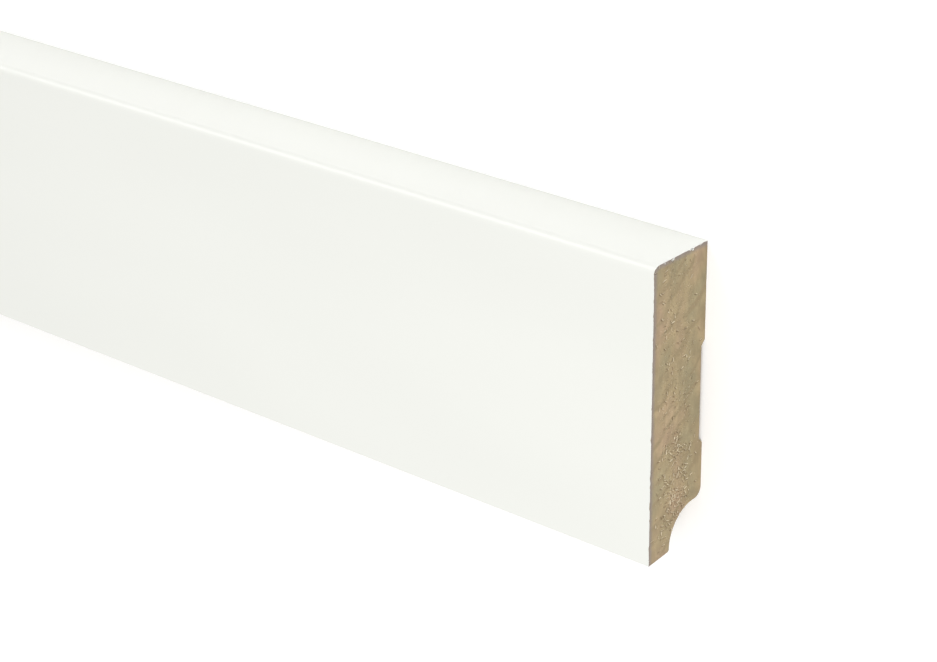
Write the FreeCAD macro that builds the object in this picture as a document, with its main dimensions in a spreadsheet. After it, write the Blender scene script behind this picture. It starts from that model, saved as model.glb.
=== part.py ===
# A length of skirting board, moulded in one piece from fibreboard.
#
# It lies on its back, as it rests on a level floor before it is fitted.
# X runs along the board, +Y points from the foot to the top edge, and +Z
# points out of the finished face. The origin is the middle of the plane that
# the back stands on, so the wall side is Z = 0.
#
# Seen from its end the section has, from the top edge down: a rounded front
# corner, a broad pad against the wall, a shallow relief with sloping flanks,
# a narrow pad, a rounded lip, a quarter-round cove that clears the edge of the
# floor covering, and a thin foot whose underside rises towards the wall.
import FreeCAD, Part
import math
import os
import Sketcher

NODE = "skirting_board"
SHEET = "Sizes"

# Each row is the size's name, its value in millimetres or degrees, and what it measures.
DRIVING_SIZES = [
    ("board_length", 2400.0, "length that the board is sold in"),
    ("board_height", 60.0, "foot to top edge, as fitted to the wall"),
    ("board_thickness", 16.0, "wall side to finished face"),
    ("top_round_radius", 1.5, "rounding between the finished face and the top edge"),
    ("relief_width", 21.0, "mouth of the relief in the back, centred on the height"),
    ("relief_depth", 1.0, "depth of the relief"),
    ("relief_flank_angle", 45.0, "slope of the relief's flanks from the back plane"),
    ("foot_thickness", 6.4, "foot between the finished face and the cove"),
    ("foot_bevel_angle", 5.0, "rise of the foot's underside towards the wall"),
    ("foot_heel_radius", 0.6, "rounding between the foot's underside and the cove"),
    ("cove_radius", 7.6, "radius of the cove"),
    ("cove_centre_height", 0.9, "height of the cove's centre above the floor line"),
    ("lip_radius", 2.0, "rounding between the cove and the lower pad"),
    ("toe_arris_radius", 0.25, "eased edge between the finished face and the foot"),
    ("back_arris_radius", 0.3, "eased edge between the top edge and the back"),
]

# Point numbers on a sketch's line or arc, and the sketch's own origin and horizontal axis.
START = 1
END = 2
CENTRE = 3
ORIGIN = (-1, 1)
HORIZONTAL_AXIS = -1

# How near an edge has to pass to the point that it is looked up by.
EDGE_REACH = 0.01


def make_sheet(document):
    """The spreadsheet of driving sizes, one alias to a row."""
    sheet = document.addObject("Spreadsheet::Sheet", SHEET)
    for row, (name, value, meaning) in enumerate(DRIVING_SIZES, start=1):
        sheet.set(f"A{row}", name)
        sheet.set(f"B{row}", str(value))
        sheet.set(f"C{row}", meaning)
        sheet.setAlias(f"B{row}", name)
    document.recompute()
    return sheet


def read_sizes(sheet):
    """The sheet's values by name, for the first placing of each sketch's lines."""
    return {name: float(sheet.get(name)) for name, _, _ in DRIVING_SIZES}


def section_sketch(body, name):
    """An empty sketch across the board: its x is the body's Y and its y is the body's Z."""
    plane = next(o for o in body.Origin.OriginFeatures if o.Role == "YZ_Plane")
    sketch = body.newObject("Sketcher::SketchObject", name)
    sketch.AttachmentSupport = [(plane, "")]
    sketch.MapMode = "FlatFace"
    return sketch


def add_line(sketch, start, end):
    """A line between two points of the section."""
    first = FreeCAD.Vector(start[0], start[1], 0)
    last = FreeCAD.Vector(end[0], end[1], 0)
    return sketch.addGeometry(Part.LineSegment(first, last), False)


def add_arc(sketch, centre, radius, first_angle, last_angle):
    """An arc that runs anticlockwise between two angles in radians."""
    middle = FreeCAD.Vector(centre[0], centre[1], 0)
    circle = Part.Circle(middle, FreeCAD.Vector(0, 0, 1), radius)
    return sketch.addGeometry(Part.ArcOfCircle(circle, first_angle, last_angle), False)


def add_polygon(sketch, corners):
    """A closed run of lines through the corners, joined end to start."""
    lines = [
        add_line(sketch, corner, corners[(i + 1) % len(corners)])
        for i, corner in enumerate(corners)
    ]
    for i, line in enumerate(lines):
        following = lines[(i + 1) % len(lines)]
        sketch.addConstraint(
            Sketcher.Constraint("Coincident", line, END, following, START)
        )
    return lines


def bind(sketch, name, kind, *references, value, expression):
    """A named dimension that follows the sheet. Its value only places it the first time."""
    index = sketch.addConstraint(Sketcher.Constraint(kind, *references, value))
    sketch.renameConstraint(index, name)
    sketch.setExpression(f"Constraints.{name}", expression)


def toe_tip(s):
    """How far the toe's sharp tip reaches below the floor line before it is rounded off."""
    bevel = math.radians(s["foot_bevel_angle"])
    return s["toe_arris_radius"] * (math.tan(bevel) + 1 / math.cos(bevel) - 1)


def blank_section(body, s):
    """The board's outer section, square but for the foot, whose underside is bevelled.

    The toe is drawn with its tip below the floor line, so that the finished board
    measures its full height once the toe is rounded.
    """
    sketch = section_sketch(body, "blank_section")
    half = s["board_height"] / 2
    deep = s["board_thickness"]
    toe = -half - toe_tip(s)
    rise = deep * math.tan(math.radians(s["foot_bevel_angle"]))
    corners = [(toe, deep), (half, deep), (half, 0), (toe + rise, 0)]
    face, top, back, _ = add_polygon(sketch, corners)
    sketch.addConstraint(Sketcher.Constraint("Horizontal", face))
    sketch.addConstraint(Sketcher.Constraint("Vertical", top))
    sketch.addConstraint(Sketcher.Constraint("Horizontal", back))
    sketch.addConstraint(
        Sketcher.Constraint("PointOnObject", back, START, HORIZONTAL_AXIS)
    )
    bind(sketch, "height_with_tip", "DistanceX", face, START, face, END,
         value=half - toe,
         expression="Sizes.board_height + Sizes.toe_arris_radius"
         " * (tan(Sizes.foot_bevel_angle * 1 deg)"
         " + 1 / cos(Sizes.foot_bevel_angle * 1 deg) - 1)")
    bind(sketch, "top_from_middle", "DistanceX", *ORIGIN, face, END,
         value=half, expression="Sizes.board_height / 2")
    bind(sketch, "thickness", "DistanceY", top, END, top, START,
         value=deep, expression="Sizes.board_thickness")
    bind(sketch, "foot_rise", "DistanceX", face, START, back, END,
         value=rise,
         expression="Sizes.board_thickness * tan(Sizes.foot_bevel_angle * 1 deg)")
    return sketch


def relief_section(body, s):
    """The shallow relief in the back, with its cutter carried past the back plane."""
    sketch = section_sketch(body, "relief_section")
    half = s["relief_width"] / 2
    deep = s["relief_depth"]
    run = deep / math.tan(math.radians(s["relief_flank_angle"]))
    corners = [
        (-half, -deep), (-half, 0), (-half + run, deep),
        (half - run, deep), (half, 0), (half, -deep),
    ]
    left, low_flank, floor, high_flank, right, outside = add_polygon(sketch, corners)
    for line in (left, right):
        sketch.addConstraint(Sketcher.Constraint("Vertical", line))
    for line in (floor, outside):
        sketch.addConstraint(Sketcher.Constraint("Horizontal", line))
    for flank_foot in ((low_flank, START), (high_flank, END)):
        sketch.addConstraint(
            Sketcher.Constraint("PointOnObject", *flank_foot, HORIZONTAL_AXIS)
        )
    flank_run = "Sizes.relief_depth / tan(Sizes.relief_flank_angle * 1 deg)"
    bind(sketch, "mouth", "DistanceX", low_flank, START, high_flank, END,
         value=2 * half, expression="Sizes.relief_width")
    bind(sketch, "mouth_from_middle", "DistanceX", low_flank, START, *ORIGIN,
         value=half, expression="Sizes.relief_width / 2")
    bind(sketch, "depth", "DistanceY", low_flank, START, low_flank, END,
         value=deep, expression="Sizes.relief_depth")
    bind(sketch, "low_flank_run", "DistanceX", low_flank, START, low_flank, END,
         value=run, expression=flank_run)
    bind(sketch, "high_flank_run", "DistanceX", high_flank, START, high_flank, END,
         value=run, expression=flank_run)
    bind(sketch, "past_the_back", "DistanceY", right, END, right, START,
         value=deep, expression="Sizes.relief_depth")
    return sketch


def cove_section(body, s):
    """The cove and the lip above it, as two arcs that meet in an S.

    The cove's arc runs on below the floor line, and the outline closes behind the
    back plane, so that the cutter leaves nothing standing between the two.
    """
    sketch = section_sketch(body, "cove_section")
    half = s["board_height"] / 2
    radius = s["cove_radius"]
    lip = s["lip_radius"]
    centre = (
        s["cove_centre_height"] - half,
        s["board_thickness"] - s["foot_thickness"] - radius,
    )
    lip_above_cove = math.sqrt((radius + lip) ** 2 - (centre[1] - lip) ** 2)
    lip_centre = (centre[0] + lip_above_cove, lip)
    meet = math.atan2(lip_centre[1] - centre[1], lip_centre[0] - centre[0])
    below_floor = centre[0] - radius

    cove_arc = add_arc(sketch, centre, radius, meet, math.pi)
    lip_arc = add_arc(sketch, lip_centre, lip, math.pi + meet, 1.5 * math.pi)
    under_foot = add_line(sketch, (below_floor, centre[1]), (below_floor, -radius))
    behind = add_line(sketch, (below_floor, -radius), (lip_centre[0], -radius))
    rise_to_lip = add_line(sketch, (lip_centre[0], -radius), (lip_centre[0], 0))

    for kind, *references in (
        ("Tangent", cove_arc, START, lip_arc, START),
        ("Tangent", cove_arc, END, under_foot, START),
        ("Coincident", under_foot, END, behind, START),
        ("Coincident", behind, END, rise_to_lip, START),
        ("Coincident", rise_to_lip, END, lip_arc, END),
        ("Vertical", under_foot),
        ("Horizontal", behind),
        ("Vertical", rise_to_lip),
        ("PointOnObject", lip_arc, END, HORIZONTAL_AXIS),
        ("Vertical", lip_arc, CENTRE, lip_arc, END),
    ):
        sketch.addConstraint(Sketcher.Constraint(kind, *references))
    bind(sketch, "cove_radius", "Radius", cove_arc,
         value=radius, expression="Sizes.cove_radius")
    bind(sketch, "lip_radius", "Radius", lip_arc,
         value=lip, expression="Sizes.lip_radius")
    bind(sketch, "centre_from_middle", "DistanceX", cove_arc, CENTRE, *ORIGIN,
         value=-centre[0],
         expression="Sizes.board_height / 2 - Sizes.cove_centre_height")
    bind(sketch, "centre_from_back", "DistanceY", *ORIGIN, cove_arc, CENTRE,
         value=centre[1],
         expression="Sizes.board_thickness - Sizes.foot_thickness - Sizes.cove_radius")
    bind(sketch, "past_the_back", "DistanceY", rise_to_lip, START, rise_to_lip, END,
         value=radius, expression="Sizes.cove_radius")
    return sketch


def extrude_blank(body, sketch):
    """The plain board, half its length to each side of the origin."""
    pad = body.newObject("PartDesign::Pad", "blank")
    pad.Profile = sketch
    pad.SideType = "Symmetric"
    pad.setExpression("Length", "Sizes.board_length")
    sketch.Visibility = False
    return pad


def mould_along(body, sketch, name):
    """A cutter's section run along the whole board. It has to take material away."""
    before = body.Tip.Shape.Volume
    pocket = body.newObject("PartDesign::Pocket", name)
    pocket.Profile = sketch
    pocket.Type = "ThroughAll"
    pocket.SideType = "Symmetric"
    sketch.Visibility = False
    body.Document.recompute()
    if not pocket.Shape.Volume < before:
        raise RuntimeError(f"{name} took nothing off the board")
    return pocket


def edge_along_board(shape, across, up):
    """The name of the edge that runs the board's length through one point of the section."""
    for index, edge in enumerate(shape.Edges, start=1):
        box = edge.BoundBox
        on_line = max(
            abs(box.YMin - across), abs(box.YMax - across),
            abs(box.ZMin - up), abs(box.ZMax - up),
        )
        if on_line < EDGE_REACH and box.XLength > shape.BoundBox.XLength / 2:
            return f"Edge{index}"
    raise RuntimeError(f"no edge runs along the board at Y {across:.2f}, Z {up:.2f}")


def round_edge(body, name, radius_name, across, up):
    """A fillet on one long edge, with its radius from the sheet."""
    base = body.Tip
    fillet = body.newObject("PartDesign::Fillet", name)
    fillet.Base = (base, [edge_along_board(base.Shape, across, up)])
    fillet.setExpression("Radius", f"Sizes.{radius_name}")
    body.Document.recompute()
    return fillet


def heel_point(s):
    """Where the foot's bevelled underside meets the cove, as a point of the section."""
    slope = math.tan(math.radians(s["foot_bevel_angle"]))
    tip = toe_tip(s)
    centre_depth = s["foot_thickness"] + s["cove_radius"]
    centre_height = s["cove_centre_height"] + tip
    # Measured from the tip, the underside is height = slope * depth, and the cove is a
    # circle about its centre, so the depth of their meeting solves a quadratic.
    a = 1 + slope**2
    b = -2 * (centre_depth + slope * centre_height)
    c = centre_depth**2 + centre_height**2 - s["cove_radius"] ** 2
    depth = (-b - math.sqrt(b**2 - 4 * a * c)) / (2 * a)
    return slope * depth - tip - s["board_height"] / 2, s["board_thickness"] - depth


def make_board(document, sheet):
    """The whole board as one body: a blank, two moulded hollows and four rounded edges."""
    s = read_sizes(sheet)
    half = s["board_height"] / 2
    deep = s["board_thickness"]
    toe = -half - toe_tip(s)
    body = document.addObject("PartDesign::Body", NODE)
    body.Label = NODE
    extrude_blank(body, blank_section(body, s))
    document.recompute()
    mould_along(body, relief_section(body, s), "back_relief")
    mould_along(body, cove_section(body, s), "cove")
    round_edge(body, "top_round", "top_round_radius", half, deep)
    round_edge(body, "back_arris", "back_arris_radius", half, 0)
    round_edge(body, "toe_arris", "toe_arris_radius", toe, deep)
    round_edge(body, "foot_heel", "foot_heel_radius", *heel_point(s))
    return body


def check_document(document):
    """Stops if any object of the document failed to build."""
    for thing in document.Objects:
        if {"Invalid", "Error"} & set(thing.State):
            raise RuntimeError(f"{thing.Name} failed: {thing.State}")


def write_step(body):
    """The board's one solid, in a file named after it."""
    shape = body.Shape
    if shape.isNull() or not shape.isValid() or len(shape.Solids) != 1:
        raise RuntimeError(f"{body.Label} isn't one valid solid")
    os.makedirs("parts", exist_ok=True)
    shape.exportStep(os.path.join("parts", f"{body.Label}.step"))
    box = shape.BoundBox
    print(
        f"{body.Label}: {box.XLength:.1f} x {box.YLength:.1f} x {box.ZLength:.1f} mm,"
        f" {shape.Volume / 1e3:.1f} cubic centimetres, {len(shape.Faces)} faces"
    )


def main():
    document = FreeCAD.newDocument("skirting")
    sheet = make_sheet(document)
    board = make_board(document, sheet)
    document.recompute()
    check_document(document)
    write_step(board)


main()
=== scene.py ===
"""Looks for one length of white-coated fibreboard skirting, lying on its back.

The frame is the board's own, in metres: X runs along it, +Y points from the foot to
the top edge, and +Z points out of the finished face. The dressed board is four kinds
of piece:

    moulded_core     the fibreboard between the two cuts, with its pads, relief, cove and foot
    sawn_end_*       the outermost millimetre at each end, with the saw's relief and torn fibres
    white_coat       the thin white wrap over the face, the top corner and the top edge
    studio           a pale floor, soft lights and the camera, which aren't part of the board
"""

import logging
import math
from dataclasses import dataclass
from enum import Enum
from functools import partial

import bmesh
import bpy
from mathutils import Matrix, Vector

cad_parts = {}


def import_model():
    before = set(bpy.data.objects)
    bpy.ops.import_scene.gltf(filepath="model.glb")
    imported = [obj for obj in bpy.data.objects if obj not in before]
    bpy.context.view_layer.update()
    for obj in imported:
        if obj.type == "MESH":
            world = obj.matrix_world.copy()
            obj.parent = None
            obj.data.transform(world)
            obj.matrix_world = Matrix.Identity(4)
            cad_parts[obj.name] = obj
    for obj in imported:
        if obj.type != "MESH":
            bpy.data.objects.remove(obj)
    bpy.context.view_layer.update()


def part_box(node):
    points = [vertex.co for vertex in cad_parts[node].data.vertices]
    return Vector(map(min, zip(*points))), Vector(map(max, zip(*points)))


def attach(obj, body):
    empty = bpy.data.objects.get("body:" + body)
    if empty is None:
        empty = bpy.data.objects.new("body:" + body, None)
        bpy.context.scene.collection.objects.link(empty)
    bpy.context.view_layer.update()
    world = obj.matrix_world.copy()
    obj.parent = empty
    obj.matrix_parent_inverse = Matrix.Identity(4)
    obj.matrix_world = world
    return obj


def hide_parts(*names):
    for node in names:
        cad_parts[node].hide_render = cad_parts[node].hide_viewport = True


NODE = "skirting_board"
BODY = "root"
MM = 0.001
LOG = logging.getLogger("skirting")

Point = tuple[float, float]
Point3 = tuple[float, float, float]
Colour = tuple[float, float, float, float]


class Slot(Enum):
    """The record's material slots."""

    COAT = "white_coat"
    BARE = "bare_fibreboard"


class End(Enum):
    """The board's two sawn ends, each with its direction along X."""

    LEFT = -1
    RIGHT = 1


def linear(hex_colour: str) -> Colour:
    """Turns an sRGB hex colour into the linear colour that the shaders work in.

    Args:
        hex_colour: six hex digits with a leading hash.

    Returns:
        Red, green, blue and an alpha of 1.
    """
    values = [int(hex_colour[i : i + 2], 16) / 255 for i in (1, 3, 5)]
    red, green, blue = (
        v / 12.92 if v <= 0.04045 else ((v + 0.055) / 1.055) ** 2.4 for v in values
    )
    return red, green, blue, 1.0


def add_node(
    tree: bpy.types.NodeTree,
    kind: str,
    inputs: dict | None = None,
    stops: list[tuple[float, Colour]] | None = None,
    **settings: object,
) -> bpy.types.Node:
    """Adds a node to a shader or geometry tree.

    Args:
        tree: the tree that the node goes into.
        kind: Blender's name for the node's type.
        inputs: socket name or number to a value, or to the output, the node or the list
            of them that feeds it. A node stands for its first output in use.
        stops: a colour ramp's positions and colours.
        settings: the node's own properties.

    Returns:
        The new node.
    """
    node = tree.nodes.new(kind)
    for name, value in settings.items():
        setattr(node, name, value)
    for name, value in (inputs or {}).items():
        for feed in value if isinstance(value, list) else [value]:
            if isinstance(feed, bpy.types.Node):
                feed = next(output for output in feed.outputs if output.enabled)
            if isinstance(feed, bpy.types.NodeSocket):
                tree.links.new(feed, node.inputs[name])
            else:
                node.inputs[name].default_value = feed
    if stops:
        elements = node.color_ramp.elements
        while len(elements) < len(stops):
            elements.new(0.5)
        for element, (position, colour) in zip(elements, stops):
            element.position = position
            element.color = colour
    return node


def grey(value: float) -> Colour:
    """A neutral colour, as a factor that another colour is multiplied by."""
    return value, value, value, 1.0


def per_grain(*sizes: float) -> Point3:
    """A pattern's scale from the real size of its grain along X, Y and Z, in metres."""
    return tuple(1 / size for size in sizes)


@dataclass(frozen=True)
class Arc:
    """A stretch of circle in the section, from one angle to another, in metres and radians."""

    centre: Point
    radius: float
    first: float
    last: float

    def points(self, longest_step: float = math.radians(5)) -> list[Point]:
        """The arc's points, both ends included.

        Args:
            longest_step: the most that one step may turn.

        Returns:
            Points of the section, as Y and Z.
        """
        steps = max(2, math.ceil(abs(self.last - self.first) / longest_step))
        angles = [self.first + (self.last - self.first) * i / steps for i in range(steps + 1)]
        return [self.at(angle) for angle in angles]

    def at(self, angle: float) -> Point:
        """The point of the circle at one angle."""
        return (
            self.centre[0] + self.radius * math.cos(angle),
            self.centre[1] + self.radius * math.sin(angle),
        )


def divided(outline: list[Point], longest: float) -> list[Point]:
    """Adds points to a closed outline until no two neighbours are far apart.

    Args:
        outline: the corners, in order.
        longest: the most that two neighbours may be apart.

    Returns:
        The corners with the added points between them.
    """
    points = []
    for here, following in zip(outline, outline[1:] + outline[:1]):
        run = math.dist(here, following)
        steps = max(1, math.ceil(run / longest))
        for i in range(steps):
            share = i / steps
            points.append(
                (
                    here[0] + (following[0] - here[0]) * share,
                    here[1] + (following[1] - here[1]) * share,
                )
            )
    return points


@dataclass(frozen=True)
class BoardSection:
    """The board's section, as Y and Z in metres. Its outlines run clockwise seen from +X."""

    height: float
    thickness: float
    coat: float = 0.08 * MM
    top_round: float = 1.5 * MM
    back_arris: float = 0.09 * MM
    toe_arris: float = 0.25 * MM
    heel_round: float = 0.6 * MM
    relief_half_width: float = 10.5 * MM
    relief_depth: float = 1.0 * MM
    foot: float = 6.4 * MM
    foot_bevel: float = math.radians(5)
    cove_radius: float = 7.6 * MM
    cove_height: float = 0.9 * MM
    lip: float = 2.0 * MM

    @property
    def top(self) -> float:
        """Y of the top edge."""
        return self.height / 2

    @property
    def cove_centre(self) -> Point:
        """The centre of the cove's circle."""
        return self.cove_height - self.top, self.thickness - self.foot - self.cove_radius

    @property
    def top_round_centre(self) -> Point:
        """The centre of the top corner's rounding."""
        return self.top - self.top_round, self.thickness - self.top_round

    def coat_outside(self) -> list[Point]:
        """The coat's outer surface, from where it starts at the toe to where it ends at the back."""
        toe = Arc(
            (self.toe_arris - self.top, self.thickness - self.toe_arris),
            self.toe_arris,
            math.pi - math.asin(1 - self.coat / self.toe_arris),
            math.pi / 2,
        )
        corner = Arc(self.top_round_centre, self.top_round, math.pi / 2, 0)
        back = Arc(
            (self.top - self.back_arris, self.back_arris),
            self.back_arris,
            0,
            -math.acos(1 - self.coat / self.back_arris),
        )
        return toe.points() + corner.points() + back.points()

    def coat_inside(self) -> list[Point]:
        """The surface where the coat meets the fibreboard, between the same two ends."""
        outside = self.coat_outside()
        corner = Arc(self.top_round_centre, self.top_round - self.coat, math.pi / 2, 0)
        return [outside[0], *corner.points(), outside[-1]]

    def beneath(self, point: Point) -> Point:
        """The point of the fibreboard that lies right under a point of the coat's surface.

        Args:
            point: a point of the coat's outer surface.

        Returns:
            The point where the coat's inner surface meets the same normal.
        """
        y, z = point
        centre_y, centre_z = self.top_round_centre
        if z <= centre_z:
            return self.top - self.coat, z
        if y <= centre_y:
            return y, self.thickness - self.coat
        angle = math.atan2(z - centre_z, y - centre_y)
        inner = Arc(self.top_round_centre, self.top_round - self.coat, 0, angle)
        return inner.at(angle)

    def coat_band(self, longest: float) -> list[tuple[Point, Point]]:
        """The coat's own section, a thin band.

        Args:
            longest: the most that two neighbouring points of its surface may be apart.

        Returns:
            Each point of the outer surface with the point right under it.
        """
        outside = self.coat_outside()
        closed = divided(outside, longest)
        open_stretch = closed[: closed.index(outside[-1]) + 1]
        return [(point, self.beneath(point)) for point in open_stretch]

    def bare_stretch(self) -> list[Point]:
        """The fibreboard's own surface, from the back's top arris round the cove to the toe."""
        arris = Arc(
            (self.top - self.back_arris, self.back_arris),
            self.back_arris,
            -math.acos(1 - self.coat / self.back_arris),
            -math.pi / 2,
        )
        half, deep = self.relief_half_width, self.relief_depth
        relief = [(half, 0), (half - deep, deep), (deep - half, deep), (-half, 0)]
        cove_y, cove_z = self.cove_centre
        lip_y = cove_y + math.sqrt(
            (self.cove_radius + self.lip) ** 2 - (cove_z - self.lip) ** 2
        )
        meet = math.atan2(self.lip - cove_z, lip_y - cove_y)
        lip = Arc((lip_y, self.lip), self.lip, 1.5 * math.pi, math.pi + meet)
        heel, leaves_cove, leaves_heel = self.heel_arc()
        cove = Arc(self.cove_centre, self.cove_radius, meet, leaves_cove)
        toe = Arc(
            (self.toe_arris - self.top, self.thickness - self.toe_arris),
            self.toe_arris,
            leaves_heel,
            math.pi - math.asin(1 - self.coat / self.toe_arris),
        )
        return (
            arris.points()
            + relief
            + lip.points()
            + cove.points(math.radians(3))[1:]
            + heel.points()[1:]
            + toe.points()
        )

    def heel_arc(self) -> tuple[Arc, float, float]:
        """The rounding between the cove and the foot's underside.

        Returns:
            The arc, the angle at which the cove reaches it, and the angle of the
            underside's outward normal.
        """
        bevel = self.foot_bevel
        along = Vector((math.sin(bevel), -math.cos(bevel)))
        inward = Vector((math.cos(bevel), math.sin(bevel)))
        toe = Vector((self.toe_arris - self.top, self.thickness - self.toe_arris))
        start = toe + (self.heel_round - self.toe_arris) * inward
        cove = Vector(self.cove_centre)
        offset = start - cove
        reach = self.cove_radius + self.heel_round
        lean = offset.dot(along)
        run = -lean - math.sqrt(lean**2 - offset.length_squared + reach**2)
        centre = start + run * along
        towards_heel = math.atan2(centre.y - cove.y, centre.x - cove.x)
        underside_normal = math.pi + bevel
        arc = Arc(
            (centre.x, centre.y), self.heel_round, towards_heel - math.pi, underside_normal - 2 * math.pi
        )
        return arc, towards_heel, underside_normal

    def core_outline(self) -> list[Point]:
        """The fibreboard's whole section, under its coat."""
        return self.coat_inside()[:-1] + self.bare_stretch()[:-1]

    def from_coat(self, y: float, z: float) -> float:
        """How far a point of the fibreboard lies under the coat.

        Args:
            y: the point's height in the section.
            z: the point's distance from the back.

        Returns:
            The distance to the nearest coated surface, in metres.
        """
        centre_y, centre_z = self.top_round_centre
        if y > centre_y and z > centre_z:
            return self.top_round - self.coat - math.hypot(y - centre_y, z - centre_z)
        return min(self.thickness - self.coat - z, self.top - self.coat - y)

    def span(self, y: float) -> Point:
        """The fibreboard's lowest and highest Z at one height of the section.

        Args:
            y: the height, in metres.

        Returns:
            Z at the wall side and at the face side.
        """
        outline = self.core_outline()
        found = []
        for here, following in zip(outline, outline[1:] + outline[:1]):
            low, high = min(here[0], following[0]), max(here[0], following[0])
            if not low <= y <= high:
                continue
            if high - low < 1e-9:
                found += [here[1], following[1]]
                continue
            share = (y - here[0]) / (following[0] - here[0])
            found.append(here[1] + (following[1] - here[1]) * share)
        return min(found), max(found)


class GeometryTree:
    """A Geometry Nodes tree with named inputs, made plain on the piece that uses it."""

    SOCKETS = {
        float: "NodeSocketFloat",
        int: "NodeSocketInt",
        Vector: "NodeSocketVector",
        bpy.types.Material: "NodeSocketMaterial",
    }

    def __init__(self, name: str, values: dict[str, object]) -> None:
        """Makes the tree with one input for each named value.

        Args:
            name: the tree's name.
            values: each input's name and the value that the piece gives it.
        """
        self.tree = bpy.data.node_groups.new(name, "GeometryNodeTree")
        face = self.tree.interface
        face.new_socket("Geometry", in_out="INPUT", socket_type="NodeSocketGeometry")
        face.new_socket("Geometry", in_out="OUTPUT", socket_type="NodeSocketGeometry")
        self.values = {}
        for label, value in values.items():
            kind = self.SOCKETS[type(value)]
            socket = face.new_socket(label, in_out="INPUT", socket_type=kind)
            self.values[socket.identifier] = value
        self.add = partial(add_node, self.tree)
        self.given = self.add("NodeGroupInput").outputs

    def finish(self, geometry: object, finishes: list[tuple[object, object]]) -> None:
        """Realizes the instances and sets the materials at the tree's end.

        Args:
            geometry: the tree's result.
            finishes: materials, each with the output that selects its faces, or True.
        """
        geometry = self.add("GeometryNodeRealizeInstances", {"Geometry": geometry})
        for material, chosen in finishes:
            geometry = self.add(
                "GeometryNodeSetMaterial",
                {"Geometry": geometry, "Material": material, "Selection": chosen},
            )
        self.add("NodeGroupOutput", {"Geometry": geometry})

    def make_plain(self, piece: bpy.types.Object) -> None:
        """Runs the tree on a piece and leaves it a plain mesh without a modifier."""
        modifier = piece.modifiers.new(self.tree.name, "NODES")
        modifier.node_group = self.tree
        for identifier, value in self.values.items():
            modifier[identifier] = value
        graph = bpy.context.evaluated_depsgraph_get()
        plain = bpy.data.meshes.new_from_object(
            piece.evaluated_get(graph), preserve_all_data_layers=True, depsgraph=graph
        )
        piece.modifiers.clear()
        piece.data = plain
        plain.name = piece.name


def shade(colour: str, factor: float) -> Colour:
    """A hex colour made lighter or darker in linear light."""
    red, green, blue, alpha = linear(colour)
    return red * factor, green * factor, blue * factor, alpha


@dataclass(frozen=True)
class Finish:
    """A procedural finish on Object coordinates, in metres."""

    name: str
    colour: str
    roughness: float

    def material(self) -> bpy.types.Material:
        """The finish as a Blender material."""
        made = bpy.data.materials.new(self.name)
        made.use_nodes = True
        tree = made.node_tree
        tree.nodes.clear()
        shader = add_node(tree, "ShaderNodeBsdfPrincipled", {"Roughness": self.roughness})
        add_node(tree, "ShaderNodeOutputMaterial", {"Surface": shader})
        place = add_node(tree, "ShaderNodeTexCoord").outputs["Object"]
        for socket, source in self.dress(tree, place).items():
            if isinstance(source, bpy.types.Node):
                tree.links.new(next(o for o in source.outputs if o.enabled), shader.inputs[socket])
            else:
                shader.inputs[socket].default_value = source
        return made

    def dress(self, tree: bpy.types.NodeTree, place: bpy.types.NodeSocket) -> dict[str, object]:
        """Adds the finish's own nodes.

        Args:
            tree: the material's tree.
            place: the output that gives Object coordinates.

        Returns:
            The shader's inputs, each with its value or the node that feeds it.
        """
        raise NotImplementedError


@dataclass(frozen=True)
class SatinWrap(Finish):
    """White foil with a satin lacquer, pressed round the board.

    It is a cool white a little on the green side, even at arm's length, with a soft wide
    sheen that turns the rounded top corner into a bright line.
    """

    name: str = "satin_white_wrap"
    colour: str = "#e9eae4"
    roughness: float = 0.43
    glossiest: float = 0.39
    mattest: float = 0.47
    lacquer: float = 0.42
    lacquer_roughness: float = 0.26

    def dress(self, tree: bpy.types.NodeTree, place: bpy.types.NodeSocket) -> dict[str, object]:
        """Adds slow clouding, the fibreboard's telegraphing and the lacquer's fine peel."""
        add = partial(add_node, tree)
        wide = add("ShaderNodeMapping", {"Vector": place, "Scale": per_grain(0.09, 0.03, 0.03)})
        cloud = add("ShaderNodeTexNoise", {"Vector": wide, "Scale": 1.0, "Detail": 1.0})
        tone = add(
            "ShaderNodeValToRGB",
            {"Fac": cloud},
            stops=[(0.3, shade(self.colour, 0.985)), (0.7, shade(self.colour, 1.01))],
        )
        # Fibres under the foil show as a very low swell, about 4 mm from crest to crest.
        under = add(
            "ShaderNodeMapping", {"Vector": place, "Scale": per_grain(9 * MM, 4 * MM, 4 * MM)}
        )
        swell = add("ShaderNodeTexNoise", {"Vector": under, "Scale": 1.0, "Detail": 1.0})
        # Lacquer peel is about 0.3 mm; it is drawn at 0.9 mm so that the render can hold it.
        peel = add("ShaderNodeTexNoise", {"Vector": place, "Scale": 1 / (0.9 * MM)})
        relief = add("ShaderNodeBump", {"Height": swell, "Distance": 0.012 * MM, "Strength": 1.0})
        relief = add(
            "ShaderNodeBump",
            {"Height": peel, "Distance": 0.0025 * MM, "Strength": 1.0, "Normal": relief},
        )
        gloss = add(
            "ShaderNodeMapRange",
            {"Value": peel, "To Min": self.glossiest, "To Max": self.mattest},
        )
        return {
            "Base Color": tone,
            "Normal": relief,
            "Roughness": gloss,
            "Coat Weight": self.lacquer,
            "Coat Roughness": self.lacquer_roughness,
        }


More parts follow.
